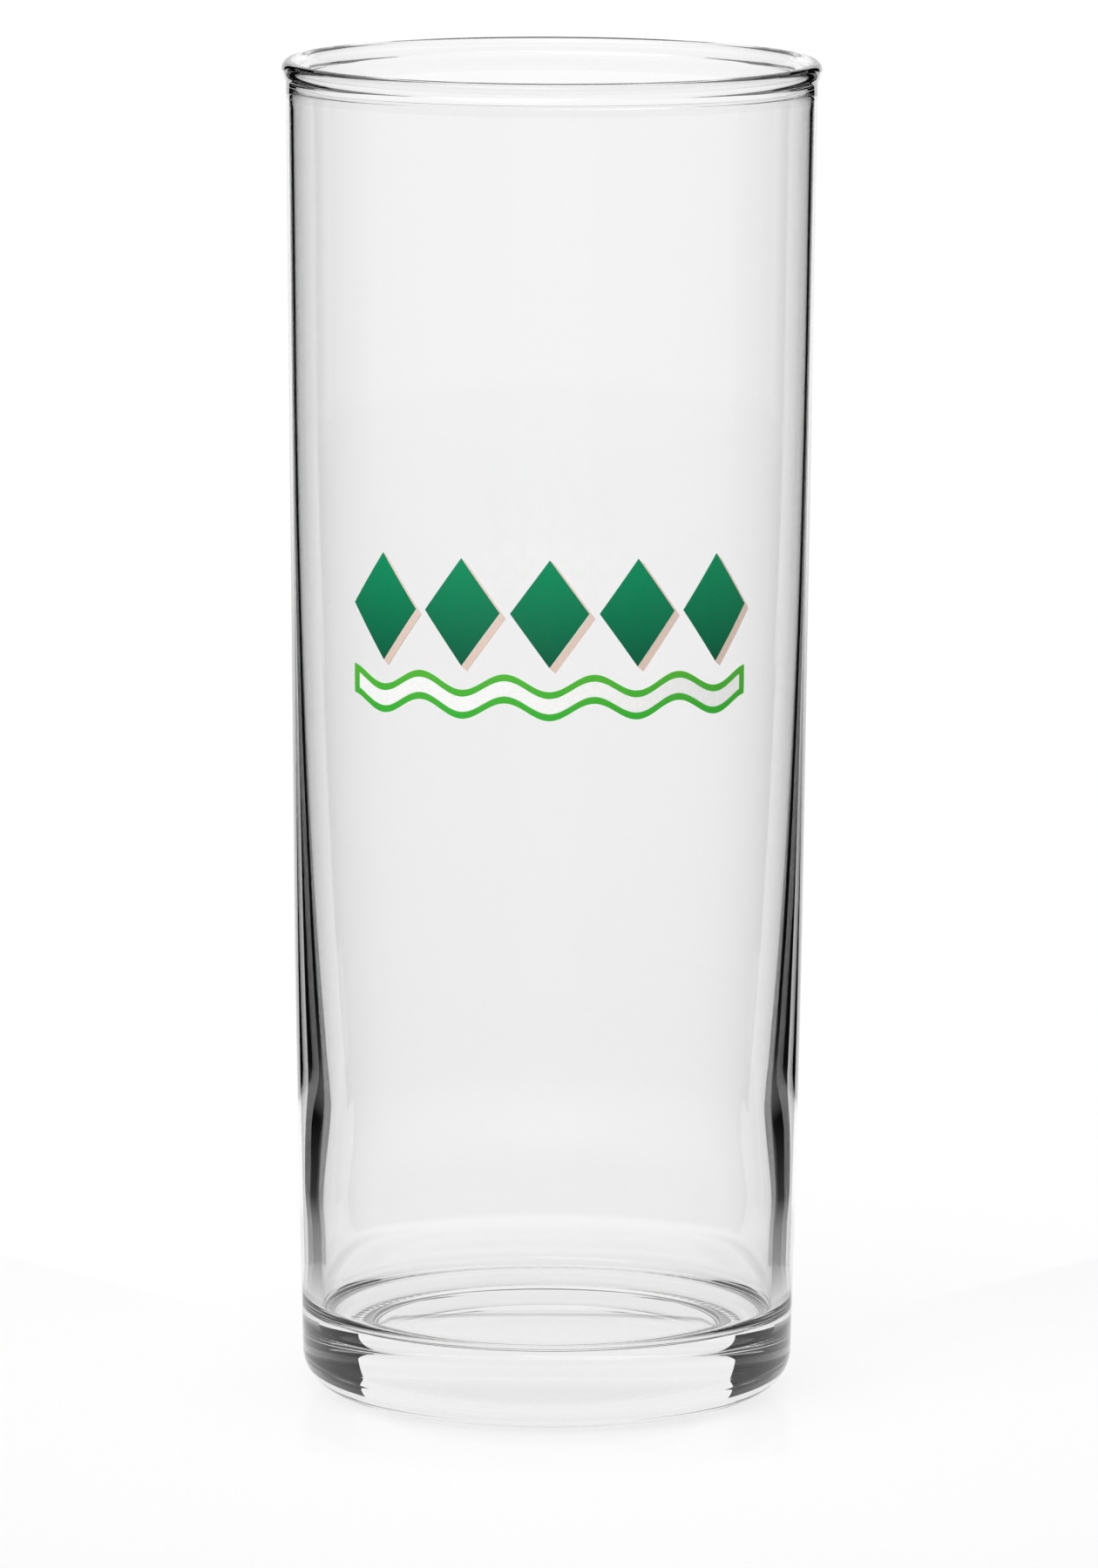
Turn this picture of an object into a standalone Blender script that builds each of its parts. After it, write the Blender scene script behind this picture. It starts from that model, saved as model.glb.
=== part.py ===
"""Zombie glass: a tall, straight-sided tumbler with a printed front, at real size.

The glass is one blown piece: a fire-polished bead, a wall that thickens down to a settle wave, a rounded
heel and a heavy base that stands on a ring round a deep push-up. The print is a row of enamel lozenges with
drop shadows above a waved ribbon, each patch a thin film that follows the wall.

Metres, +Z up. The glass stands on z = 0 round the Z axis, and the print faces -Y.
"""

import math

import bmesh
import bpy

# Outside of the glass
HEIGHT = 0.15875
RIM_DIAMETER = 0.0635
BEAD_HEIGHT = 0.0022
BEAD_OUT = 0.0005
BEAD_IN = 0.0004
KNEE_HEIGHT = 0.048
KNEE_DIAMETER = 0.0601
KNEE_BLEND = 0.012
HEEL_DIAMETER = 0.0582
HEEL_RUN = 0.0056
HEEL_RISE = 0.0049
BEARING_WIDTH = 0.0012
PUSH_UP = 0.0038
PUSH_UP_EDGE = 0.0029
PUSH_UP_SIDE = 0.0015

# Inside of the glass
TOP_WALL = 0.00085
THIN_HEIGHT = 0.126
WALL_POWER = 2.2
WAVE_HEIGHT = 0.038
WAVE_WALL = 0.0028
FOOT_HEIGHT = 0.022
FOOT_WALL = 0.0024
BASE_THICKNESS = 0.0054
FLOOR_DISH = 0.0004
FILLET_RADIUS = 0.0020

# Enamel print, with widths measured round the wall
PRINT_HEIGHT = 0.0973
LOZENGE_COUNT = 5
LOZENGE_PITCH = 0.0104
LOZENGE_WIDTH = 0.0092
LOZENGE_TALL = 0.0126
SHADOW_ACROSS = 0.0007
SHADOW_DOWN = 0.0006
RIBBON_DROP = 0.0098
RIBBON_LENGTH = 0.0510
RIBBON_WIDTH = 0.0034
RIBBON_BORDER = 0.0008
RIBBON_RISE = 0.0010
ENAMEL_THICKNESS = 0.00012
ENAMEL_GAP = 0.00005

# Facets of the meshes
FACETS = 72
BEAD_CROWN_STEPS = 8
BEAD_FOOT_STEPS = 2
HEEL_STEPS = 7
PUSH_UP_SIDE_STEPS = 4
PUSH_UP_STEPS = 3
FLOOR_STEPS = 3
FILLET_STEPS = 5
FOOT_STEPS = 9
WALL_STEPS = 9
KNEE_STEPS = 5
RIBBON_STEPS = 40
WELD = 1e-7

# Linear colour, roughness
FINISHES = {
    "clear_glass": ((0.90, 0.94, 0.93), 0.02),
    "enamel_green": ((0.0, 0.21, 0.095), 0.28),
    "enamel_tan": ((0.68, 0.53, 0.42), 0.30),
    "enamel_lime": ((0.05, 0.47, 0.06), 0.28),
    "enamel_white": ((0.90, 0.90, 0.88), 0.28),
}

# The bead's half section, its feet in degrees below its middle, and the wall that starts there
BEAD_HALF_WIDTH = (BEAD_OUT + TOP_WALL + BEAD_IN) / 2
BEAD_HALF_HEIGHT = BEAD_HEIGHT / 2
BEAD_OUTER_FOOT = math.degrees(math.acos(1 - BEAD_OUT / BEAD_HALF_WIDTH))
BEAD_INNER_FOOT = math.degrees(math.acos(1 - BEAD_IN / BEAD_HALF_WIDTH))
WALL_TOP = HEIGHT - BEAD_HALF_HEIGHT * (1 + math.sin(math.radians(BEAD_OUTER_FOOT)))
WALL_TOP_RADIUS = RIM_DIAMETER / 2 - BEAD_OUT
FLOOR_MIDDLE = PUSH_UP + BASE_THICKNESS
FLOOR_EDGE = FLOOR_MIDDLE + FLOOR_DISH
FIRST_LOZENGE = -(LOZENGE_COUNT - 1) / 2 * LOZENGE_PITCH


def clear_scene():
    for item in list(bpy.data.objects):
        bpy.data.objects.remove(item, do_unlink=True)


def make_material(slot):
    colour, roughness = FINISHES[slot]
    material = bpy.data.materials.new(slot)
    material.use_nodes = True
    shader = material.node_tree.nodes["Principled BSDF"]
    shader.inputs["Base Color"].default_value = (*colour, 1.0)
    shader.inputs["Roughness"].default_value = roughness
    shader.inputs["Metallic"].default_value = 0.0
    if slot == "clear_glass":
        shader.inputs["Transmission Weight"].default_value = 1.0
        shader.inputs["IOR"].default_value = 1.52
    return material


def add_object(name, mesh_data, material):
    mesh_data.materials.append(material)
    item = bpy.data.objects.new(name, mesh_data)
    bpy.context.collection.objects.link(item)
    return item


def ease(share):
    """Smooth step from 0 to 1 with level ends."""
    return share * share * (3 - 2 * share)


def upper_radius(z):
    """Outside radius of the long upper taper, carried on above and below it."""
    share = (z - KNEE_HEIGHT) / (WALL_TOP - KNEE_HEIGHT)
    return KNEE_DIAMETER / 2 + share * (WALL_TOP_RADIUS - KNEE_DIAMETER / 2)


def lower_radius(z):
    """Outside radius of the short taper from the knee to the heel."""
    share = (z - HEEL_RISE) / (KNEE_HEIGHT - HEEL_RISE)
    return HEEL_DIAMETER / 2 + share * (KNEE_DIAMETER - HEEL_DIAMETER) / 2


def outer_radius(z):
    """Outside radius of the wall, with the knee between its two tapers rounded off."""
    top, bottom = KNEE_HEIGHT + KNEE_BLEND, KNEE_HEIGHT - KNEE_BLEND
    if z >= top:
        return upper_radius(z)
    if z <= bottom:
        return lower_radius(z)
    share = (z - bottom) / (top - bottom)
    start, knee, end = lower_radius(bottom), KNEE_DIAMETER / 2, upper_radius(top)
    return (1 - share) ** 2 * start + 2 * share * (1 - share) * knee + share ** 2 * end


def wall_thickness(z):
    """Glass between the outside and the inside of the wall.

    The wall grows from the thin top down to the settle wave, and thins out again below it.
    """
    if z >= THIN_HEIGHT:
        return TOP_WALL
    share = (THIN_HEIGHT - z) / (THIN_HEIGHT - WAVE_HEIGHT)
    grown = TOP_WALL + (WAVE_WALL - TOP_WALL) * share ** WALL_POWER
    settled = (z - FOOT_HEIGHT) / (WAVE_HEIGHT - FOOT_HEIGHT)
    return FOOT_WALL + (grown - FOOT_WALL) * ease(min(1.0, max(0.0, settled)))


def inner_radius(z):
    return outer_radius(z) - wall_thickness(z)


def spread(start, end, steps):
    """Even values from start to end, both included."""
    return [start + (end - start) * index / steps for index in range(steps + 1)]


def arc(centre, across, up, start, end, steps):
    """Points (r, z) on an ellipse's arc, its angles in degrees from +r towards +z."""
    turns = [math.radians(angle) for angle in spread(start, end, steps)]
    return [(centre[0] + across * math.cos(turn), centre[1] + up * math.sin(turn)) for turn in turns]


def inside_points():
    """From the middle of the dished floor, round its fillet and up the wall to the bead."""
    fillet_top = FLOOR_EDGE + FILLET_RADIUS
    edge = inner_radius(fillet_top) - FILLET_RADIUS
    fillet = arc((edge, fillet_top), FILLET_RADIUS, FILLET_RADIUS, -90, 0, FILLET_STEPS)
    reaches = spread(0.0, edge, FLOOR_STEPS)[:-1]
    floor = [(r, FLOOR_MIDDLE + FLOOR_DISH * (r / edge) ** 2) for r in reaches]
    foot = spread(fillet_top, WAVE_HEIGHT, FOOT_STEPS)[1:]
    wall = spread(WAVE_HEIGHT, THIN_HEIGHT, WALL_STEPS)[1:]
    return floor + fillet + [(inner_radius(z), z) for z in foot + wall]


def bead_points():
    """Over the fire-polished bead, from its inner foot to its outer foot."""
    centre = (RIM_DIAMETER / 2 - BEAD_HALF_WIDTH, HEIGHT - BEAD_HALF_HEIGHT)
    section = (centre, BEAD_HALF_WIDTH, BEAD_HALF_HEIGHT)
    inner_foot = arc(*section, 180 + BEAD_INNER_FOOT, 180, BEAD_FOOT_STEPS)
    crown = arc(*section, 180, 0, BEAD_CROWN_STEPS)
    outer_foot = arc(*section, 0, -BEAD_OUTER_FOOT, BEAD_FOOT_STEPS)
    return inner_foot[:-1] + crown + outer_foot[1:]


def outside_points():
    """Down the wall, round the heel, across the bearing ring and up to the middle of the push-up."""
    heights = spread(KNEE_HEIGHT + KNEE_BLEND, KNEE_HEIGHT - KNEE_BLEND, KNEE_STEPS)
    knee = [(outer_radius(z), z) for z in heights]
    ring = HEEL_DIAMETER / 2 - HEEL_RUN
    heel = arc((ring, HEEL_RISE), HEEL_RUN, HEEL_RISE, 0, -90, HEEL_STEPS)
    recess = ring - BEARING_WIDTH
    shoulder = recess - PUSH_UP_SIDE
    reaches = spread(recess, shoulder, PUSH_UP_SIDE_STEPS)
    side = [(r, PUSH_UP_EDGE * ease((recess - r) / PUSH_UP_SIDE)) for r in reaches]
    crown = PUSH_UP - PUSH_UP_EDGE
    reaches = spread(shoulder, 0.0, PUSH_UP_STEPS)[1:]
    dome = [(r, PUSH_UP_EDGE + crown * (1 - (r / shoulder) ** 2)) for r in reaches]
    return knee + heel + side + dome


def make_glass(material):
    """Turn the glass's section round the Z axis."""
    section = inside_points() + bead_points() + outside_points()
    mesh_data = bpy.data.meshes.new("glass_body")
    edges = [(index, index + 1) for index in range(len(section) - 1)]
    mesh_data.from_pydata([(r, 0.0, z) for r, z in section], edges, [])
    glass = add_object("glass_body", mesh_data, material)
    turn = glass.modifiers.new("Turn", "SCREW")
    turn.steps = FACETS
    turn.render_steps = FACETS
    turn.use_merge_vertices = True
    turn.merge_threshold = WELD
    turn.use_normal_calculate = True
    return glass


def on_wall(along, z, lift):
    """Point on the wall's facets, a distance round it from the front at a height, lifted off the glass."""
    turn = along / upper_radius(PRINT_HEIGHT)
    facet = 2 * math.pi / FACETS
    middle = (math.floor(turn / facet + WELD) + 0.5) * facet
    reach = (upper_radius(z) * math.cos(facet / 2) + lift) / math.cos(turn - middle)
    return reach * math.sin(turn), -reach * math.cos(turn), z


def make_film(name, outlines, material):
    """One patch of enamel: flat outlines of (along, z) cut at the facets' edges, wrapped on and thickened."""
    mesh = bmesh.new()
    for outline in outlines:
        mesh.faces.new([mesh.verts.new((along, 0.0, z)) for along, z in outline])
    bmesh.ops.remove_doubles(mesh, verts=mesh.verts, dist=WELD)
    facet_width = 2 * math.pi / FACETS * upper_radius(PRINT_HEIGHT)
    reach = max(abs(vert.co.x) for vert in mesh.verts)
    cuts = math.ceil(reach / facet_width)
    for index in range(-cuts, cuts + 1):
        everything = mesh.verts[:] + mesh.edges[:] + mesh.faces[:]
        bmesh.ops.bisect_plane(
            mesh, geom=everything, dist=WELD, plane_co=(index * facet_width, 0, 0), plane_no=(1, 0, 0)
        )
    back = mesh.verts[:]
    raised = bmesh.ops.extrude_face_region(mesh, geom=mesh.faces[:])["geom"]
    front = [item for item in raised if isinstance(item, bmesh.types.BMVert)]
    for verts, lift in ((back, ENAMEL_GAP), (front, ENAMEL_GAP + ENAMEL_THICKNESS)):
        for vert in verts:
            vert.co = on_wall(vert.co.x, vert.co.z, lift)
    bmesh.ops.recalc_face_normals(mesh, faces=mesh.faces[:])
    mesh_data = bpy.data.meshes.new(name)
    mesh.to_mesh(mesh_data)
    mesh.free()
    return add_object(name, mesh_data, material)


def make_lozenges(green, tan):
    """The row of lozenges, each with a shadow along its two right-hand sides."""
    half_width = LOZENGE_WIDTH / 2
    half_tall = LOZENGE_TALL / 2
    for index in range(LOZENGE_COUNT):
        middle = FIRST_LOZENGE + index * LOZENGE_PITCH
        top = (middle, PRINT_HEIGHT + half_tall)
        right = (middle + half_width, PRINT_HEIGHT)
        bottom = (middle, PRINT_HEIGHT - half_tall)
        left = (middle - half_width, PRINT_HEIGHT)
        make_film(f"green_lozenge_{index + 1}", [[top, right, bottom, left]], green)
        near = [(along + ENAMEL_GAP, z - ENAMEL_GAP) for along, z in (top, right, bottom)]
        far = [(along + SHADOW_ACROSS, z - SHADOW_DOWN) for along, z in (top, right, bottom)]
        arms = [[near[arm], far[arm], far[arm + 1], near[arm + 1]] for arm in range(2)]
        make_film(f"tan_shadow_{index + 1}", arms, tan)


def ribbon_edge(side, inset):
    """Points along the ribbon's top (side 1) or bottom (side -1), set in from its outline.

    The ribbon dips under each lozenge and rises between them.
    """
    half_length = RIBBON_LENGTH / 2 - inset
    level = PRINT_HEIGHT - RIBBON_DROP + side * (RIBBON_WIDTH / 2 - inset)
    points = []
    for along in spread(-half_length, half_length, RIBBON_STEPS):
        turn = 2 * math.pi * (along - FIRST_LOZENGE) / LOZENGE_PITCH
        points.append((along, level - RIBBON_RISE * math.cos(turn)))
    return points


def make_ribbon(lime, white):
    """The waved ribbon: a border all round it and a plain field inside the border."""
    outer = ribbon_edge(1, 0.0) + ribbon_edge(-1, 0.0)[::-1]
    inner = ribbon_edge(1, RIBBON_BORDER) + ribbon_edge(-1, RIBBON_BORDER)[::-1]
    count = len(outer)
    border = [
        [outer[index], outer[(index + 1) % count], inner[(index + 1) % count], inner[index]]
        for index in range(count)
    ]
    make_film("lime_ribbon_border", border, lime)
    top = ribbon_edge(1, RIBBON_BORDER + ENAMEL_GAP)
    bottom = ribbon_edge(-1, RIBBON_BORDER + ENAMEL_GAP)
    field = [[top[index], top[index + 1], bottom[index + 1], bottom[index]] for index in range(RIBBON_STEPS)]
    make_film("white_ribbon_field", field, white)


def main():
    clear_scene()
    materials = {slot: make_material(slot) for slot in FINISHES}
    make_glass(materials["clear_glass"])
    make_lozenges(materials["enamel_green"], materials["enamel_tan"])
    make_ribbon(materials["enamel_lime"], materials["enamel_white"])


main()
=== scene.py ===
"""Zombie glass: the looks of a tall printed tumbler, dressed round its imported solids.

The clear glass is turned again with a fine, smooth section. Every patch of the print becomes a soft-edged
film of fired enamel. The stage is a white sweep with black cards behind the glass, which draw its edges, and
a dim hood and mat before it, which keep its reflections quiet.

Metres, +Z up. The glass stands on z = 0 round the Z axis, and the print faces -Y.
"""

import math

import bmesh
import bpy
from bpy.props import FloatProperty, FloatVectorProperty, IntProperty, PointerProperty
from mathutils import Matrix, Vector


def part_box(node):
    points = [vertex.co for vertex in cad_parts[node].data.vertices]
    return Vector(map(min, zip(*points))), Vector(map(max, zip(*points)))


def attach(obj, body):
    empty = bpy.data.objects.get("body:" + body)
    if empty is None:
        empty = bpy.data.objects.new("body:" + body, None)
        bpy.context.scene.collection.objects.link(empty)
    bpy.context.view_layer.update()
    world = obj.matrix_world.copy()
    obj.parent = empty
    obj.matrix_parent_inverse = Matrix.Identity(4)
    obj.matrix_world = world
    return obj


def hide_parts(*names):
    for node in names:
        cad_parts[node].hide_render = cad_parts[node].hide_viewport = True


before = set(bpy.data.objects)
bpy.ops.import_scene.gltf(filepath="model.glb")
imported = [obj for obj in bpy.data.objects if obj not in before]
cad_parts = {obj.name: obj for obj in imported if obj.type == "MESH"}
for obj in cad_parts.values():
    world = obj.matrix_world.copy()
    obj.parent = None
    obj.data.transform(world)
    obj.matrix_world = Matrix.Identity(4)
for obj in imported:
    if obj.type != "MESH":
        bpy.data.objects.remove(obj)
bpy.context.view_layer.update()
GLASS_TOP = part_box("glass_body")[1]
RIBBON_LOW, RIBBON_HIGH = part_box("lime_ribbon_border")
LOZENGE_LOW, LOZENGE_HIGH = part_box("green_lozenge_1")
LOZENGES = sorted(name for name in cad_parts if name.startswith("green_lozenge_"))

bl_info = {
    "name": "Zombie Glass",
    "version": (1, 0, 0),
    "blender": (4, 5, 0),
    "location": "View3D > Sidebar > Glass",
    "description": "Builds a tall printed tumbler in clear glass and fired enamel, with a white stage",
    "category": "Add Mesh",
}

WELD = 1e-7
WHITE = (1.0, 1.0, 1.0)
BLACK = (0.0, 0.0, 0.0)

# Form of the glass's section, and the steps along each of its stretches
WALL_POWER = 2.2
BEAD_ROUND_SHARE = 0.8
FLOOR_STEPS = 40
FILLET_STEPS = 24
INNER_WALL_STEPS = 90
BEAD_FOOT_STEPS = 4
BEAD_CROWN_STEPS = 24
OUTER_WALL_STEPS = 56
HEEL_STEPS = 20
RING_STEPS = 4
PUSH_UP_STEPS = 10

# Form of the enamel films, with angles in radians
FILM_CREASE = math.radians(20)
FILM_CORNER = 1.0
FILM_EDGE_SEGMENTS = 2
LOZENGE_CORNERS = 4
RIBBON_STEPS = 160

# Surfaces of the glass and the enamels, with noise scales in features per metre
GLASS_IOR = 1.52
GLASS_WAVE_SCALE = 45.0
GLASS_WAVE_STRENGTH = 0.02
GLASS_WAVE_DEPTH = 0.0004
ENAMEL_SPECULAR = 0.25
MOTTLE_SCALE = 2600.0
MOTTLE_BAND = (0.3, 0.7)
MOTTLE_SHADE = (0.93, 0.93, 0.93)
GLOSS_SCALE = 900.0
GLOSS_ROUGHNESS = (0.24, 0.40)
SKIN_SCALE = 5200.0
SKIN_STRENGTH = 0.25
SKIN_DEPTH = 0.00002
PALE_TAN_SHARE = 0.15
# Yellow lime towards which the top of the ribbon's lime border is lightened: a painted glint of light, not a
# colour of the enamel
PAINTED_GLINT_LIME = (0.5, 0.7, 0.05)
PAINTED_GLINT_LIME_SHARE = 0.12

# Stage: the floor, the lamp, and the grey levels of the cards
CAMERA_REACH = 100.0
FLOOR_SIDES = 128
FLOOR_DROP = 0.00005
FLOOR_SHADE = (0.2, 0.2, 0.2)
FLOOR_ROUGHNESS = 0.04
FLOOR_GLOSS = 0.08
FLOOR_GLOW = 0.748
LAMP_ENERGY = 1.6
LAMP_ANGLE = math.radians(70)
LAMP_TILT = math.radians(60)
LAMP_TURN = math.radians(-25)
CARD_BLACK = 0.004
CARD_FOOT_GREY = 0.3
HOOD_GREY = 0.2
HOOD_TURN = math.radians(280)
HOOD_STEPS = 48
MAT_GREY = 0.03
MAT_LIFT = 0.0006
HALF_A_BOUNCE = 0.5


def length(name, description, default):
    """A length that the user can change, in metres."""
    return FloatProperty(name=name, description=description, default=default, unit="LENGTH", precision=5)


def whole_number(name, description, default, least):
    """A whole number that the user can change."""
    return IntProperty(name=name, description=description, default=default, min=least)


def tilt(name, description, degrees):
    """An angle that the user can change, given in degrees."""
    return FloatProperty(name=name, description=description, default=math.radians(degrees), subtype="ANGLE")


def colour(name, description, default):
    """A linear colour that the user can change."""
    return FloatVectorProperty(
        name=name, description=description, default=default, subtype="COLOR", size=3, min=0.0, max=1.0
    )


class GlassSizes(bpy.types.PropertyGroup):
    """Section of the clear glass."""

    height: length("Height", "From the table to the top of the bead", GLASS_TOP.z)
    rim: length("Rim", "Diameter across the bead", 2 * GLASS_TOP.x)
    bead_height: length("Bead height", "Height of the fire-polished bead", 0.0022)
    bead_out: length("Bead out", "How far the bead stands out from the wall", 0.0005)
    bead_in: length("Bead in", "How far the bead stands in from the wall", 0.0004)
    bead_foot: length("Bead foot", "Height of the soft hollow where the bead runs into the wall", 0.0004)
    knee_height: length("Knee height", "Where the lower taper meets the upper one", 0.048)
    knee: length("Knee", "Diameter at the knee", 0.0601)
    knee_blend: length("Knee blend", "Reach of the knee's rounding, above and below it", 0.012)
    heel: length("Heel", "Diameter where the heel starts to curve in", 0.0582)
    heel_run: length("Heel run", "How far the heel curves in", 0.0056)
    heel_rise: length("Heel rise", "How high the heel starts", 0.0049)
    bearing_width: length("Bearing ring", "Width of the ring that the glass stands on", 0.0012)
    push_up: length("Push-up", "Height of the hollow under the base, in the middle", 0.0038)
    push_up_edge: length("Push-up edge", "Height of the hollow under the base, at its shoulder", 0.0029)
    push_up_side: length("Push-up side", "Width of the hollow's sloping side", 0.0015)
    top_wall: length("Top wall", "Thickness of the wall under the bead", 0.00085)
    thin_height: length("Thin height", "Height above which the wall stays thin", 0.126)
    wave_height: length("Wave height", "Height of the top of the settle wave", 0.038)
    wave_wall: length("Wave wall", "Thickness of the wall at the top of the settle wave", 0.0028)
    foot_height: length("Foot height", "Height of the bottom of the settle wave", 0.022)
    foot_wall: length("Foot wall", "Thickness of the wall under the settle wave", 0.0024)
    floor_height: length("Floor height", "Height of the inside floor above the table, at its edge", 0.0096)
    floor_dish: length("Floor dish", "How far the middle of the inside floor lies below its edge", 0.0004)
    fillet: length("Fillet", "Radius of the hollow where the floor meets the wall", 0.0020)
    stipple_depth: length("Stipple depth", "Depth of the fine marks across the bearing ring", 0.00012)
    stipple_count: whole_number("Stipple count", "Marks round the bearing ring", 96, 8)
    turn_steps: whole_number("Turn steps", "Steps of the turned glass", 288, 72)


class PrintSizes(bpy.types.PropertyGroup):
    """Sizes of the enamel print, with widths measured round the wall."""

    height: length("Height", "Height of the middle of the lozenges", (LOZENGE_LOW.z + LOZENGE_HIGH.z) / 2)
    lozenge_pitch: length("Lozenge pitch", "Step from one lozenge to the next", 0.0104)
    lozenge_width: length("Lozenge width", "Width of a lozenge", 0.0092)
    lozenge_tall: length("Lozenge height", "Height of a lozenge", LOZENGE_HIGH.z - LOZENGE_LOW.z)
    shadow_across: length("Shadow across", "How far the shadow reaches to the right", 0.0007)
    shadow_down: length("Shadow down", "How far the shadow reaches down", 0.0006)
    ribbon_drop: length("Ribbon drop", "From the middle of the lozenges down to the ribbon's", 0.0098)
    ribbon_length: length("Ribbon length", "Length of the ribbon", 0.0510)
    ribbon_width: length("Ribbon width", "Width of the ribbon, border included", 0.0034)
    ribbon_border: length("Ribbon border", "Width of the ribbon's border", 0.0008)
    ribbon_rise: length("Ribbon rise", "Height of the ribbon's waves", 0.0010)
    gap: length("Gap", "Clearance between a film and the glass, and between two films", 0.00003)
    thickness: length("Thickness", "Thickness of the enamel", 0.00009)
    edge: length("Edge", "Rounding of the enamel's edges", 0.00003)
    step: length("Step", "Width of the strips that follow the wall's curve", 0.0005)


class Finishes(bpy.types.PropertyGroup):
    """Colours of the glass and the enamels, and how clear the glass is."""

    glass: colour("Glass", "Tint of the clear glass", (1.0, 1.0, 1.0))
    absorption: FloatProperty(
        name="Absorption", description="Light taken up by a metre of the glass, as an exponent", default=2.2
    )
    green_top: colour("Green, top", "Green enamel at the top of a lozenge", (0.0, 0.283, 0.114))
    green_bottom: colour("Green, bottom", "Green enamel at the bottom of a lozenge", (0.0, 0.114, 0.053))
    tan: colour("Tan", "Tan enamel of the shadows", (0.752, 0.578, 0.485))
    lime: colour("Lime", "Lime enamel of the ribbon's border", (0.032, 0.456, 0.032))
    white: colour("White", "White enamel of the ribbon's field", (0.93, 0.93, 0.92))


class StageSizes(bpy.types.PropertyGroup):
    """Camera, cards and sweep of the studio."""

    lens: FloatProperty(name="Lens", description="Focal length", default=258.3, unit="CAMERA")
    distance: length("Camera distance", "From the axis of the glass to the camera, along the table", 1.3177)
    camera_height: length("Camera height", "Height of the camera above the table", 0.2770)
    pitch: tilt("Pitch", "How far the camera looks down", 8.812)
    roll: tilt("Roll", "How far the camera is tilted", 0.23)
    floor_radius: length("Floor radius", "Radius of the white floor", 3.0)
    card_near: length("Card, near edge", "From the axis to a black card's inner edge, sideways", 0.054)
    card_far: length("Card, far edge", "From the axis to a black card's outer edge, sideways", 0.110)
    card_back: length("Card, near depth", "How far the inner edge stands behind the axis", 0.063)
    card_front: length("Card, far depth", "How far the outer edge stands behind the axis", 0.030)
    back_near: length("Back card, near edge", "From the axis to a back card's inner edge, sideways", 0.083)
    back_far: length("Back card, far edge", "From the axis to a back card's outer edge, sideways", 0.140)
    back_depth: length("Back card, depth", "How far the inner edge stands behind the axis", 0.139)
    back_front: length("Back card, far depth", "How far the outer edge stands behind the axis", 0.100)
    card_height: length("Card height", "Height of the black cards", 0.20)
    back_height: length("Back card height", "Height of the low black cards behind them", 0.06)
    fade: length("Fade", "Height above which the cards are black, from grey at their feet", 0.018)
    hood_distance: length("Hood distance", "From the axis to the grey hood on the camera's side", 0.90)
    hood_height: length("Hood height", "Height of the grey hood", 0.90)
    mat_near: length("Mat, near edge", "From the axis to the white edge of the mat before the glass", 0.045)
    mat_far: length("Mat, dark part", "From the axis to where the mat before the glass is dark", 0.11)


def ease(share):
    """Smooth step from 0 to 1 with level ends."""
    return share * share * (3 - 2 * share)


def spread(start, end, steps):
    """Even values from start to end, both included."""
    return [start + (end - start) * index / steps for index in range(steps + 1)]


def arc(centre, across, up, start, end, steps):
    """Points (r, z) on an ellipse's arc, its angles in degrees from +r towards +z."""
    turns = [math.radians(angle) for angle in spread(start, end, steps)]
    return [(centre[0] + across * math.cos(turn), centre[1] + up * math.sin(turn)) for turn in turns]


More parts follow.
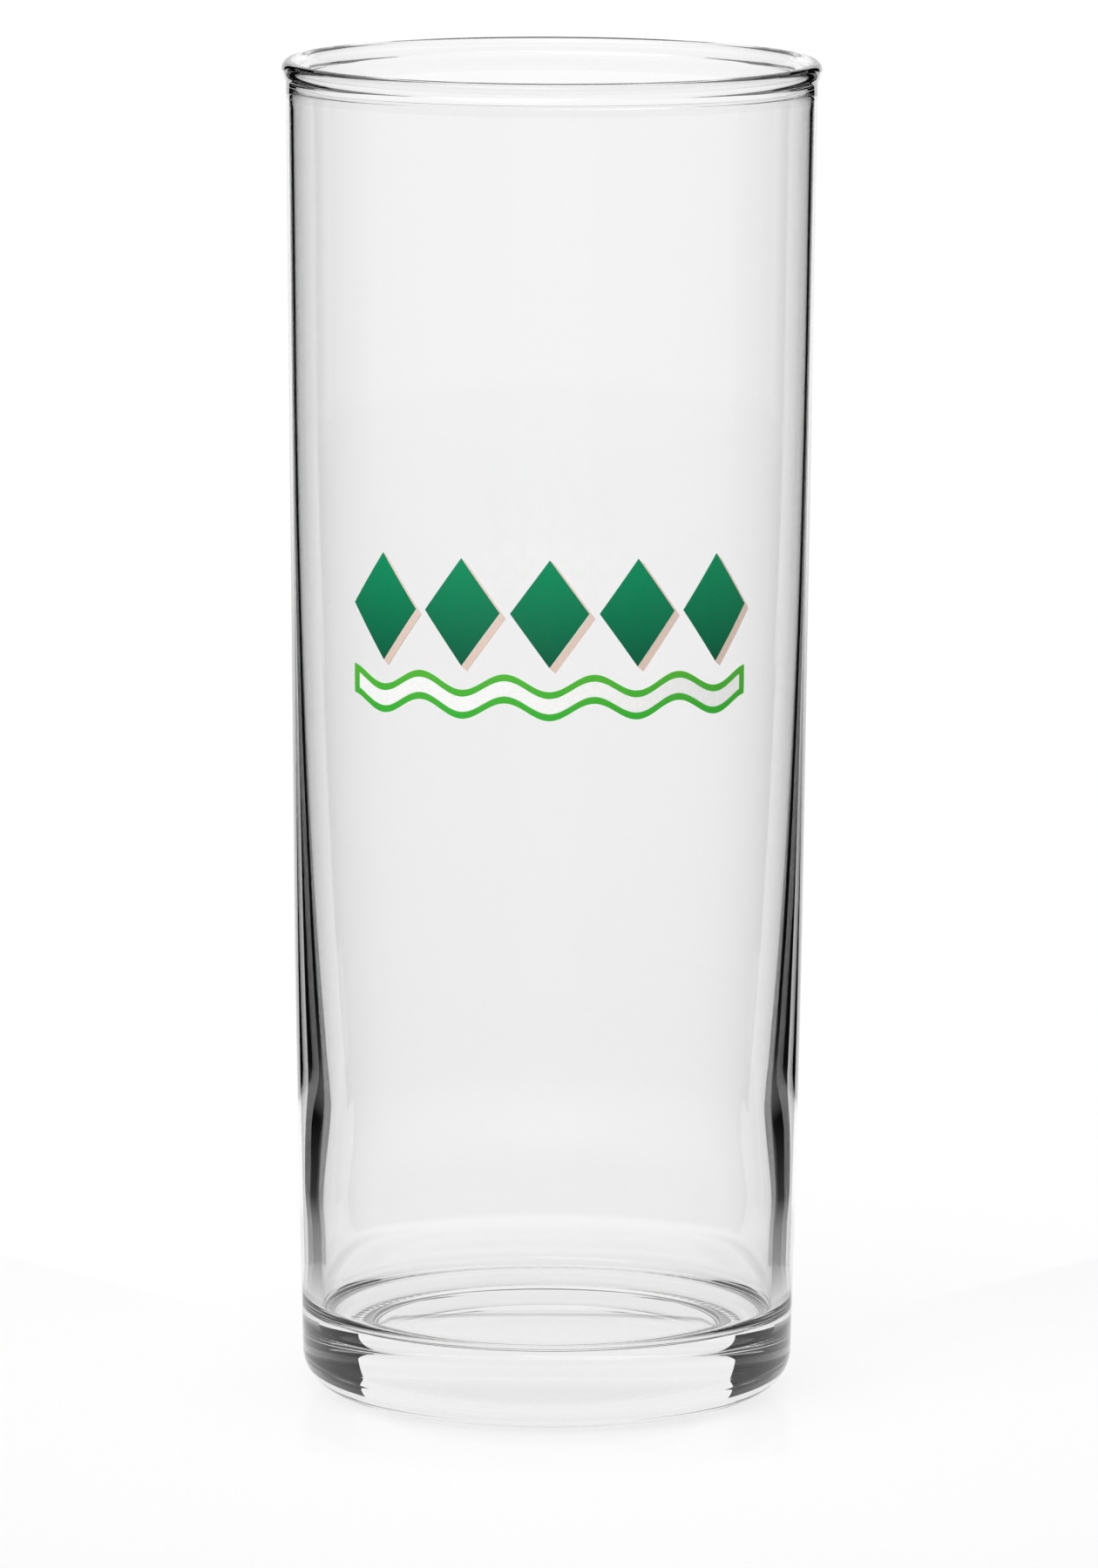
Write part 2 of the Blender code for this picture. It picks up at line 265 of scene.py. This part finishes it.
class Section:
    """The glass's section, worked out from its sizes."""

    def __init__(self, sizes):
        self.sizes = sizes
        self.bead_half_width = (sizes.bead_out + sizes.top_wall + sizes.bead_in) / 2
        self.bead_half_height = sizes.bead_height / 2
        self.bead_outer_foot = math.degrees(math.acos(1 - sizes.bead_out / self.bead_half_width))
        self.bead_inner_foot = math.degrees(math.acos(1 - sizes.bead_in / self.bead_half_width))
        bead_drop = 1 + math.sin(math.radians(self.bead_outer_foot))
        self.wall_top = sizes.height - self.bead_half_height * bead_drop
        self.wall_top_radius = sizes.rim / 2 - sizes.bead_out

    def upper_radius(self, z):
        """Outside radius of the long upper taper."""
        sizes = self.sizes
        share = (z - sizes.knee_height) / (self.wall_top - sizes.knee_height)
        return sizes.knee / 2 + share * (self.wall_top_radius - sizes.knee / 2)

    def lower_radius(self, z):
        """Outside radius of the short taper from the knee to the heel."""
        sizes = self.sizes
        share = (z - sizes.heel_rise) / (sizes.knee_height - sizes.heel_rise)
        return sizes.heel / 2 + share * (sizes.knee - sizes.heel) / 2

    def outer_radius(self, z):
        """Outside radius of the wall, with the knee between its two tapers rounded off."""
        sizes = self.sizes
        top, bottom = sizes.knee_height + sizes.knee_blend, sizes.knee_height - sizes.knee_blend
        if z >= top:
            return self.upper_radius(z)
        if z <= bottom:
            return self.lower_radius(z)
        share = (z - bottom) / (top - bottom)
        start, knee, end = self.lower_radius(bottom), sizes.knee / 2, self.upper_radius(top)
        return (1 - share) ** 2 * start + 2 * share * (1 - share) * knee + share ** 2 * end

    def wall(self, z):
        """Thickness of the wall, which grows down to the settle wave and thins out below it."""
        sizes = self.sizes
        if z >= sizes.thin_height:
            return sizes.top_wall
        share = (sizes.thin_height - z) / (sizes.thin_height - sizes.wave_height)
        grown = sizes.top_wall + (sizes.wave_wall - sizes.top_wall) * share ** WALL_POWER
        settled = (z - sizes.foot_height) / (sizes.wave_height - sizes.foot_height)
        return sizes.foot_wall + (grown - sizes.foot_wall) * ease(min(1.0, max(0.0, settled)))

    def inner_radius(self, z):
        return self.outer_radius(z) - self.wall(z)

    def inside(self):
        """From the middle of the dished floor, round its fillet and up the wall to the bead."""
        sizes = self.sizes
        top = sizes.floor_height + sizes.fillet
        edge = self.inner_radius(top) - sizes.fillet
        fillet = arc((edge, top), sizes.fillet, sizes.fillet, -90, 0, FILLET_STEPS)
        reaches = spread(0.0, edge, FLOOR_STEPS)[:-1]
        floor = [(r, sizes.floor_height - sizes.floor_dish * (1 - (r / edge) ** 2)) for r in reaches]
        heights = spread(top, self.wall_top - sizes.bead_foot, INNER_WALL_STEPS)[1:]
        return floor + fillet + [(self.inner_radius(z), z) for z in heights]

    def bead(self):
        """Over the fire-polished bead, from its inner foot to its outer foot."""
        sizes = self.sizes
        centre = (sizes.rim / 2 - self.bead_half_width, sizes.height - self.bead_half_height)
        section = (centre, self.bead_half_width, self.bead_half_height)
        inner = arc(*section, 180 + self.bead_inner_foot * BEAD_ROUND_SHARE, 180, BEAD_FOOT_STEPS)
        crown = arc(*section, 180, 0, BEAD_CROWN_STEPS)
        outer = arc(*section, 0, -self.bead_outer_foot * BEAD_ROUND_SHARE, BEAD_FOOT_STEPS)
        return inner[:-1] + crown + outer[1:]

    def outside(self):
        """Down the wall, round the heel, across the bearing ring and up to the middle of the push-up."""
        sizes = self.sizes
        heights = spread(self.wall_top - sizes.bead_foot, sizes.heel_rise, OUTER_WALL_STEPS)
        wall = [(self.outer_radius(z), z) for z in heights]
        ring_edge = sizes.heel / 2 - sizes.heel_run
        heel = arc((ring_edge, sizes.heel_rise), sizes.heel_run, sizes.heel_rise, 0, -90, HEEL_STEPS)
        recess = ring_edge - sizes.bearing_width
        ring = [(r, 0.0) for r in spread(ring_edge, recess, RING_STEPS)[1:]]
        shoulder = recess - sizes.push_up_side
        side = [
            (r, sizes.push_up_edge * ease((recess - r) / sizes.push_up_side))
            for r in spread(recess, shoulder, PUSH_UP_STEPS)[1:]
        ]
        dome = [
            (r, sizes.push_up_edge + (sizes.push_up - sizes.push_up_edge) * (1 - (r / shoulder) ** 2))
            for r in spread(shoulder, 0.0, PUSH_UP_STEPS)[1:]
        ]
        return wall + heel[1:] + ring + side + dome

    def points(self):
        return self.inside() + self.bead() + self.outside()


def of_kind(items, kind):
    return [item for item in items if isinstance(item, kind)]


def add_line(mesh, points):
    """Vertices at some points, and the edges that join them in a row."""
    chain = [mesh.verts.new(point) for point in points]
    return chain, [mesh.edges.new(pair) for pair in zip(chain, chain[1:])]


def sweep(mesh, edges, offset):
    """Extrude edges by an offset into faces, and give what is new."""
    swept = bmesh.ops.extrude_edge_only(mesh, edges=edges)["geom"]
    bmesh.ops.translate(mesh, verts=of_kind(swept, bmesh.types.BMVert), vec=offset)
    return swept


def add_piece(name, mesh, material, node, crease=math.pi):
    """A finished piece: its normals made true, shaded smooth up to a crease, in place of a CAD node."""
    bmesh.ops.remove_doubles(mesh, verts=mesh.verts[:], dist=WELD)
    bmesh.ops.recalc_face_normals(mesh, faces=mesh.faces[:])
    data = bpy.data.meshes.new(name)
    mesh.to_mesh(data)
    mesh.free()
    data.shade_smooth()
    data.set_sharp_from_angle(angle=crease)
    data.materials.append(material)
    piece = bpy.data.objects.new(name, data)
    bpy.context.scene.collection.objects.link(piece)
    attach(piece, "root")
    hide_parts(node)


def new_material(name):
    """A material with nothing but its Principled shader and output."""
    material = bpy.data.materials.new(name)
    material.use_nodes = True
    return material, material.node_tree, material.node_tree.nodes["Principled BSDF"]


def object_coordinates(tree):
    return tree.nodes.new("ShaderNodeTexCoord").outputs["Object"]


def noise(tree, scale, detail):
    """Noise on the piece's own coordinates, in features per metre."""
    texture = tree.nodes.new("ShaderNodeTexNoise")
    texture.inputs["Scale"].default_value = scale
    texture.inputs["Detail"].default_value = detail
    tree.links.new(object_coordinates(tree), texture.inputs["Vector"])
    return texture.outputs["Fac"]


def bump(tree, shader, height, strength, distance):
    node = tree.nodes.new("ShaderNodeBump")
    node.inputs["Strength"].default_value = strength
    node.inputs["Distance"].default_value = distance
    tree.links.new(height, node.inputs["Height"])
    tree.links.new(node.outputs["Normal"], shader.inputs["Normal"])


def calculate(tree, operation, first, second):
    """A Math node on a socket and on another socket or a number."""
    node = tree.nodes.new("ShaderNodeMath")
    node.operation = operation
    tree.links.new(first, node.inputs[0])
    if isinstance(second, float):
        node.inputs[1].default_value = second
    else:
        tree.links.new(second, node.inputs[1])
    return node.outputs["Value"]


def map_range(tree, value, source, target):
    """A node that takes a value from one range to another."""
    node = tree.nodes.new("ShaderNodeMapRange")
    node.inputs["From Min"].default_value, node.inputs["From Max"].default_value = source
    node.inputs["To Min"].default_value, node.inputs["To Max"].default_value = target
    tree.links.new(value, node.inputs["Value"])
    return node


def ramp(tree, value, low, high, first, last):
    """A value turned into a colour between two colours."""
    place = map_range(tree, value, (low, high), (0.0, 1.0))
    mix = tree.nodes.new("ShaderNodeMix")
    mix.data_type = "RGBA"
    tree.links.new(place.outputs["Result"], mix.inputs["Factor"])
    mix.inputs["A"].default_value = (*first, 1.0)
    mix.inputs["B"].default_value = (*last, 1.0)
    return mix.outputs["Result"]


def clear_glass(finishes):
    """Clear soda-lime glass with the faint waviness of a blown wall, a little grey where it is deep."""
    material, tree, shader = new_material("clear_glass")
    shader.inputs["Base Color"].default_value = (*finishes.glass, 1.0)
    shader.inputs["Roughness"].default_value = 0.0
    shader.inputs["IOR"].default_value = GLASS_IOR
    shader.inputs["Transmission Weight"].default_value = 1.0
    bump(tree, shader, noise(tree, GLASS_WAVE_SCALE, detail=1.0), GLASS_WAVE_STRENGTH, GLASS_WAVE_DEPTH)
    depth = tree.nodes.new("ShaderNodeVolumeAbsorption")
    depth.inputs["Color"].default_value = (*BLACK, 1.0)
    depth.inputs["Density"].default_value = finishes.absorption
    tree.links.new(depth.outputs["Volume"], tree.nodes["Material Output"].inputs["Volume"])
    return material


def enamel(name, top, bottom, low, high):
    """Fired gloss enamel with fine mottling and an uneven skin, its colour running from bottom to top."""
    material, tree, shader = new_material(name)
    shader.inputs["Specular IOR Level"].default_value = ENAMEL_SPECULAR
    split = tree.nodes.new("ShaderNodeSeparateXYZ")
    tree.links.new(object_coordinates(tree), split.inputs["Vector"])
    body = ramp(tree, split.outputs["Z"], low, high, bottom, top)
    mottle = ramp(tree, noise(tree, MOTTLE_SCALE, detail=3.0), *MOTTLE_BAND, MOTTLE_SHADE, WHITE)
    blend = tree.nodes.new("ShaderNodeMix")
    blend.data_type = "RGBA"
    blend.blend_type = "MULTIPLY"
    blend.inputs["Factor"].default_value = 1.0
    tree.links.new(body, blend.inputs["A"])
    tree.links.new(mottle, blend.inputs["B"])
    tree.links.new(blend.outputs["Result"], shader.inputs["Base Color"])
    gloss = map_range(tree, noise(tree, GLOSS_SCALE, detail=2.0), (0.0, 1.0), GLOSS_ROUGHNESS)
    tree.links.new(gloss.outputs["Result"], shader.inputs["Roughness"])
    bump(tree, shader, noise(tree, SKIN_SCALE, detail=2.0), SKIN_STRENGTH, SKIN_DEPTH)
    return material


class GLASS_OT_body(bpy.types.Operator):
    """Turn the clear glass, with its bead, wall, heel, stippled ring and push-up"""

    bl_idname = "zombie_glass.body"
    bl_label = "Clear Glass"
    bl_options = {"REGISTER", "UNDO"}

    def execute(self, context):
        sizes = context.scene.glass_sizes
        mesh = bmesh.new()
        chain, edges = add_line(mesh, [(r, 0.0, z) for r, z in Section(sizes).points()])
        bmesh.ops.spin(
            mesh, geom=chain + edges, cent=(0, 0, 0), axis=(0, 0, 1), angle=2 * math.pi,
            steps=sizes.turn_steps, use_merge=True
        )
        bmesh.ops.remove_doubles(mesh, verts=mesh.verts[:], dist=WELD)
        self.stipple(mesh, sizes)
        material = clear_glass(context.scene.finishes)
        add_piece("clear_glass_body", mesh, material, "glass_body")
        return {"FINISHED"}

    def stipple(self, mesh, sizes):
        """Press fine marks across the middle of the bearing ring."""
        outer = sizes.heel / 2 - sizes.heel_run
        middle = outer - sizes.bearing_width / 2
        for vert in mesh.verts:
            reach = math.hypot(vert.co.x, vert.co.y)
            if vert.co.z < WELD and abs(reach - middle) < sizes.bearing_width / 2 - WELD:
                turn = math.atan2(vert.co.y, vert.co.x) * sizes.stipple_count
                vert.co.z += sizes.stipple_depth * (0.5 + 0.5 * math.cos(turn))


def flat_film(mesh, sizes):
    """Cut a flat outline into upright strips, thicken it towards -Y and round its front edges."""
    reach = max(abs(vert.co.x) for vert in mesh.verts)
    count = math.ceil(reach / sizes.step)
    for index in range(-count, count + 1):
        bmesh.ops.bisect_plane(
            mesh, geom=mesh.verts[:] + mesh.edges[:] + mesh.faces[:], dist=WELD,
            plane_co=(index * sizes.step, 0, 0), plane_no=(1, 0, 0)
        )
    raised = bmesh.ops.extrude_face_region(mesh, geom=mesh.faces[:])["geom"]
    front = of_kind(raised, bmesh.types.BMVert)
    bmesh.ops.translate(mesh, verts=front, vec=(0, -sizes.thickness, 0))
    bmesh.ops.recalc_face_normals(mesh, faces=mesh.faces[:])
    corners = [edge for edge in mesh.edges if edge.calc_face_angle(0.0) > FILM_CORNER]
    bmesh.ops.bevel(
        mesh, geom=[edge for edge in corners if in_front(edge, sizes)], offset=sizes.edge, affect="EDGES",
        segments=FILM_EDGE_SEGMENTS, profile=0.5, material=-1, clamp_overlap=True
    )


def in_front(edge, sizes):
    return all(vert.co.y < -sizes.thickness / 2 for vert in edge.verts)


def wrap(mesh, sizes, section):
    """Bend a flat film round the wall."""
    for vert in mesh.verts:
        turn = vert.co.x / section.outer_radius(sizes.height)
        reach = section.outer_radius(vert.co.z) + sizes.gap - vert.co.y
        vert.co = (reach * math.sin(turn), -reach * math.cos(turn), vert.co.z)


def lozenge_middle(sizes, index):
    return (index - (len(LOZENGES) - 1) / 2) * sizes.lozenge_pitch


class GLASS_OT_lozenges(bpy.types.Operator):
    """Print the row of green lozenges"""

    bl_idname = "zombie_glass.lozenges"
    bl_label = "Green Lozenges"
    bl_options = {"REGISTER", "UNDO"}

    def execute(self, context):
        sizes, finishes = context.scene.print_sizes, context.scene.finishes
        section = Section(context.scene.glass_sizes)
        half_tall = sizes.lozenge_tall / 2
        low, high = sizes.height - half_tall, sizes.height + half_tall
        material = enamel("enamel_green", finishes.green_top, finishes.green_bottom, low, high)
        for index, node in enumerate(LOZENGES):
            mesh = bmesh.new()
            bmesh.ops.create_circle(mesh, cap_ends=True, segments=LOZENGE_CORNERS, radius=1.0)
            place = Matrix.Translation((lozenge_middle(sizes, index), 0, sizes.height))
            size = Matrix.Diagonal((sizes.lozenge_width / 2, 1, half_tall, 1))
            upright = Matrix.Rotation(math.pi / 2, 4, "X")
            bmesh.ops.transform(mesh, matrix=place @ size @ upright, verts=mesh.verts[:])
            flat_film(mesh, sizes)
            wrap(mesh, sizes, section)
            add_piece(f"lozenge_{index + 1}", mesh, material, node, FILM_CREASE)
        return {"FINISHED"}


class GLASS_OT_shadows(bpy.types.Operator):
    """Print the tan shadow along the two right-hand sides of each lozenge"""

    bl_idname = "zombie_glass.shadows"
    bl_label = "Tan Shadows"
    bl_options = {"REGISTER", "UNDO"}

    def execute(self, context):
        sizes, finishes = context.scene.print_sizes, context.scene.finishes
        section = Section(context.scene.glass_sizes)
        half_wide, half_tall = sizes.lozenge_width / 2, sizes.lozenge_tall / 2
        pale = Vector(finishes.tan).lerp(Vector(WHITE), PALE_TAN_SHARE)
        low, high = sizes.height - half_tall, sizes.height + half_tall
        material = enamel("enamel_tan", pale, finishes.tan, low, high)
        for index in range(len(LOZENGES)):
            mesh = bmesh.new()
            middle = lozenge_middle(sizes, index)
            corners = [(middle, half_tall), (middle + half_wide, 0.0), (middle, -half_tall)]
            points = [(x + sizes.gap, 0, sizes.height + z - sizes.gap) for x, z in corners]
            _, edges = add_line(mesh, points)
            sweep(mesh, edges, (sizes.shadow_across - sizes.gap, 0, sizes.gap - sizes.shadow_down))
            flat_film(mesh, sizes)
            wrap(mesh, sizes, section)
            name, node = f"lozenge_shadow_{index + 1}", f"tan_shadow_{index + 1}"
            add_piece(name, mesh, material, node, FILM_CREASE)
        return {"FINISHED"}


class GLASS_OT_ribbon(bpy.types.Operator):
    """Print the waved ribbon: its lime border and its white field"""

    bl_idname = "zombie_glass.ribbon"
    bl_label = "Waved Ribbon"
    bl_options = {"REGISTER", "UNDO"}

    def execute(self, context):
        sizes, finishes = context.scene.print_sizes, context.scene.finishes
        section = Section(context.scene.glass_sizes)
        low, high = RIBBON_LOW.z, RIBBON_HIGH.z
        # The lime border runs from its own lime at the bottom to a lighter yellow lime at the top, which is
        # a painted glint
        pale = Vector(finishes.lime).lerp(Vector(PAINTED_GLINT_LIME), PAINTED_GLINT_LIME_SHARE)
        lime = enamel("enamel_lime", pale, finishes.lime, low, high)
        white = enamel("enamel_white", finishes.white, finishes.white, low, high)
        border, inside = self.ribbon(sizes, sizes.ribbon_border)
        bmesh.ops.delete(border, geom=list(inside), context="FACES")
        field, inside = self.ribbon(sizes, sizes.ribbon_border + sizes.gap)
        bmesh.ops.delete(field, geom=[face for face in field.faces if face not in inside], context="FACES")
        for name, mesh, material, node, slot in (
            ("ribbon_border", border, lime, "lime_ribbon_border", "enamel_lime"),
            ("ribbon_field", field, white, "white_ribbon_field", "enamel_white"),
        ):
            flat_film(mesh, sizes)
            wrap(mesh, sizes, section)
            add_piece(name, mesh, material, node, FILM_CREASE)
        return {"FINISHED"}

    def ribbon(self, sizes, inset):
        """The flat ribbon as three rows of faces with narrow ends, and the faces inside its inset line."""
        mesh = bmesh.new()
        half = sizes.ribbon_length / 2
        top = sizes.height - sizes.ribbon_drop + sizes.ribbon_width / 2
        start = lozenge_middle(sizes, 0)
        points = []
        for x in [-half] + spread(inset - half, half - inset, RIBBON_STEPS) + [half]:
            wave = sizes.ribbon_rise * math.cos(2 * math.pi * (x - start) / sizes.lozenge_pitch)
            points.append((x, 0, top - wave))
        _, edges = add_line(mesh, points)
        rows = []
        for drop in (inset, sizes.ribbon_width - 2 * inset, inset):
            swept = sweep(mesh, edges, (0, 0, -drop))
            moved = set(of_kind(swept, bmesh.types.BMVert))
            lines = of_kind(swept, bmesh.types.BMEdge)
            edges = [line for line in lines if moved.issuperset(line.verts)]
            rows.append(of_kind(swept, bmesh.types.BMFace))
        inside = {face for face in rows[1] if abs(face.calc_center_median().x) < half - inset}
        return mesh, inside


def plain_card(name, shade):
    """Card of an even grey, at the level at which a lit card of that grey is seen."""
    material, _, shader = new_material(name)
    shader.inputs["Base Color"].default_value = (*BLACK, 1.0)
    shader.inputs["Roughness"].default_value = 1.0
    shader.inputs["Specular IOR Level"].default_value = 0.0
    shader.inputs["Emission Color"].default_value = (shade, shade, shade, 1.0)
    shader.inputs["Emission Strength"].default_value = 1.0
    return material


def faded_card(name, low_shade, high_shade, height):
    """Card whose grey runs from one level at its foot to another at a height."""
    material = plain_card(name, high_shade)
    tree = material.node_tree
    split = tree.nodes.new("ShaderNodeSeparateXYZ")
    tree.links.new(object_coordinates(tree), split.inputs["Vector"])
    shade = ramp(tree, split.outputs["Z"], 0.0, height, [low_shade] * 3, [high_shade] * 3)
    tree.links.new(shade, tree.nodes["Principled BSDF"].inputs["Emission Color"])
    return material


def mirrored_card(name, shade):
    """Card that is grey in reflections only, and as white as its surroundings to every other ray."""
    material = plain_card(name, 1.0)
    tree = material.node_tree
    path = tree.nodes.new("ShaderNodeLightPath")
    mirrored = calculate(tree, "GREATER_THAN", path.outputs["Glossy Depth"], HALF_A_BOUNCE)
    unscattered = calculate(tree, "LESS_THAN", path.outputs["Diffuse Depth"], HALF_A_BOUNCE)
    both = calculate(tree, "MULTIPLY", mirrored, unscattered)
    level = map_range(tree, both, (0.0, 1.0), (1.0, shade))
    tree.links.new(level.outputs["Result"], tree.nodes["Principled BSDF"].inputs["Emission Strength"])
    return material, level


def mirrored_mat(name, shade, near, far):
    """Flat card of the same kind, from white to its shade between two distances from the axis."""
    material, level = mirrored_card(name, shade)
    tree = material.node_tree
    reach = tree.nodes.new("ShaderNodeVectorMath")
    reach.operation = "LENGTH"
    tree.links.new(object_coordinates(tree), reach.inputs[0])
    fade = map_range(tree, reach.outputs["Value"], (near, far), (1.0, shade))
    tree.links.new(fade.outputs["Result"], level.inputs["To Max"])
    return material


def seen_directly(tree):
    """1 for a ray from the camera, from a gloss or through glass, and 0 for one that only carries light."""
    path = tree.nodes.new("ShaderNodeLightPath")
    mirrored = calculate(tree, "MAXIMUM", path.outputs["Is Camera Ray"], path.outputs["Is Glossy Ray"])
    return calculate(tree, "MAXIMUM", mirrored, path.outputs["Is Transmission Ray"])


def add_stage_object(name, mesh, material):
    data = bpy.data.meshes.new(name)
    mesh.to_mesh(data)
    mesh.free()
    data.materials.append(material)
    item = bpy.data.objects.new(name, data)
    bpy.context.scene.collection.objects.link(item)
    return item


class GLASS_OT_stage(bpy.types.Operator):
    """Set the camera, the white sweep, the soft light and the black cards"""

    bl_idname = "zombie_glass.stage"
    bl_label = "Stage"
    bl_options = {"REGISTER", "UNDO"}

    def execute(self, context):
        scene, sizes = context.scene, context.scene.stage_sizes
        scene.view_settings.view_transform = "Standard"
        self.camera(scene, sizes)
        self.floor(sizes)
        self.world(scene)
        self.lamp(scene)
        self.cards(scene, sizes)
        return {"FINISHED"}

    def camera(self, scene, sizes):
        data = bpy.data.cameras.new("camera")
        data.lens = sizes.lens
        data.clip_end = CAMERA_REACH
        camera = bpy.data.objects.new("camera", data)
        scene.collection.objects.link(camera)
        camera.location = (0, -sizes.distance, sizes.camera_height)
        camera.rotation_mode = "ZYX"
        camera.rotation_euler = (math.pi / 2 - sizes.pitch, 0, sizes.roll)
        scene.camera = camera

    def floor(self, sizes):
        mesh = bmesh.new()
        bmesh.ops.create_circle(mesh, cap_ends=True, segments=FLOOR_SIDES, radius=sizes.floor_radius)
        bmesh.ops.translate(mesh, verts=mesh.verts[:], vec=(0, 0, -FLOOR_DROP))
        material, tree, shader = new_material("white_sweep")
        shader.inputs["Base Color"].default_value = (*FLOOR_SHADE, 1.0)
        shader.inputs["Roughness"].default_value = FLOOR_ROUGHNESS
        shader.inputs["Metallic"].default_value = FLOOR_GLOSS
        shader.inputs["Specular IOR Level"].default_value = 0.0
        shader.inputs["Emission Color"].default_value = (*WHITE, 1.0)
        glow = calculate(tree, "MULTIPLY", seen_directly(tree), FLOOR_GLOW)
        tree.links.new(glow, shader.inputs["Emission Strength"])
        add_stage_object("white_floor", mesh, material)

    def world(self, scene):
        world = bpy.data.worlds.new("white_studio")
        world.use_nodes = True
        scene.world = world
        background = world.node_tree.nodes["Background"]
        background.inputs["Color"].default_value = (*WHITE, 1.0)
        background.inputs["Strength"].default_value = 1.0

    def lamp(self, scene):
        data = bpy.data.lights.new("soft_key", "SUN")
        data.energy = LAMP_ENERGY
        data.angle = LAMP_ANGLE
        lamp = bpy.data.objects.new("soft_key", data)
        lamp.rotation_euler = (LAMP_TILT, 0, LAMP_TURN)
        scene.collection.objects.link(lamp)

    def cards(self, scene, sizes):
        """Black cards behind the glass, and a hood and a mat before it, on a stand facing the camera."""
        stand = bpy.data.objects.new("card_stand", None)
        scene.collection.objects.link(stand)
        face = stand.constraints.new("LOCKED_TRACK")
        face.target = scene.camera
        face.track_axis = "TRACK_NEGATIVE_Y"
        face.lock_axis = "LOCK_Z"
        black = plain_card("black_card", CARD_BLACK)
        faded = faded_card("faded_card", CARD_FOOT_GREY, CARD_BLACK, sizes.fade)
        grey, _ = mirrored_card("grey_hood", HOOD_GREY)
        dark = mirrored_mat("dark_mat", MAT_GREY, sizes.mat_near, sizes.mat_far)
        for name, side in (("left", -1), ("right", 1)):
            foot = [(side * sizes.card_near, sizes.card_back), (side * sizes.card_far, sizes.card_front)]
            self.card(f"{name}_card", foot, sizes.card_height, faded, stand)
            foot = [(side * sizes.back_near, sizes.back_depth), (side * sizes.back_far, sizes.back_front)]
            self.card(f"{name}_back_card", foot, sizes.back_height, black, stand)
        foot = (sizes.hood_distance, 0, MAT_LIFT)
        self.curved_card("camera_hood", foot, (sizes.hood_distance, 0, sizes.hood_height), grey, stand)
        self.curved_card("dark_mat", (sizes.mat_near, 0, MAT_LIFT), foot, dark, stand)

    def curved_card(self, name, first, last, material, stand):
        """A line swept round the camera's side of the glass."""
        mesh = bmesh.new()
        chain, edges = add_line(mesh, [first, last])
        turn = Matrix.Rotation(-HOOD_TURN / 2 - math.pi / 2, 3, "Z")
        bmesh.ops.rotate(mesh, verts=chain, cent=(0, 0, 0), matrix=turn)
        bmesh.ops.spin(
            mesh, geom=chain + edges, cent=(0, 0, 0), axis=(0, 0, 1), angle=HOOD_TURN,
            steps=HOOD_STEPS, use_merge=False
        )
        self.hang(name, mesh, material, stand)

    def card(self, name, foot, height, material, stand):
        """An upright card on a line of points."""
        mesh = bmesh.new()
        _, edges = add_line(mesh, [(x, y, 0.0) for x, y in foot])
        sweep(mesh, edges, (0, 0, height))
        self.hang(name, mesh, material, stand)

    def hang(self, name, mesh, material, stand):
        """Put a card on the stand, seen only through the glass and in gloss."""
        card = add_stage_object(name, mesh, material)
        card.parent = stand
        card.visible_camera = False
        card.visible_diffuse = False
        card.visible_shadow = False


class GLASS_PT_panel(bpy.types.Panel):
    """Lists the pieces of the glass and the stage"""

    bl_idname = "GLASS_PT_panel"
    bl_label = "Zombie Glass"
    bl_space_type = "VIEW_3D"
    bl_region_type = "UI"
    bl_category = "Glass"

    def draw(self, context):
        for operator in OPERATORS:
            self.layout.operator(operator.bl_idname)


GROUPS = {
    "glass_sizes": GlassSizes,
    "print_sizes": PrintSizes,
    "finishes": Finishes,
    "stage_sizes": StageSizes,
}
OPERATORS = (GLASS_OT_stage, GLASS_OT_body, GLASS_OT_lozenges, GLASS_OT_shadows, GLASS_OT_ribbon)


def register():
    for group in GROUPS.values():
        bpy.utils.register_class(group)
    for name, group in GROUPS.items():
        setattr(bpy.types.Scene, name, PointerProperty(type=group))
    for operator in OPERATORS:
        bpy.utils.register_class(operator)
    bpy.utils.register_class(GLASS_PT_panel)


def unregister():
    bpy.utils.unregister_class(GLASS_PT_panel)
    for operator in reversed(OPERATORS):
        bpy.utils.unregister_class(operator)
    for name in GROUPS:
        delattr(bpy.types.Scene, name)
    for group in reversed(GROUPS.values()):
        bpy.utils.unregister_class(group)


def main():
    register()
    bpy.ops.zombie_glass.stage()
    bpy.ops.zombie_glass.body()
    bpy.ops.zombie_glass.lozenges()
    bpy.ops.zombie_glass.shadows()
    bpy.ops.zombie_glass.ribbon()


if __name__ == "__main__":
    main()
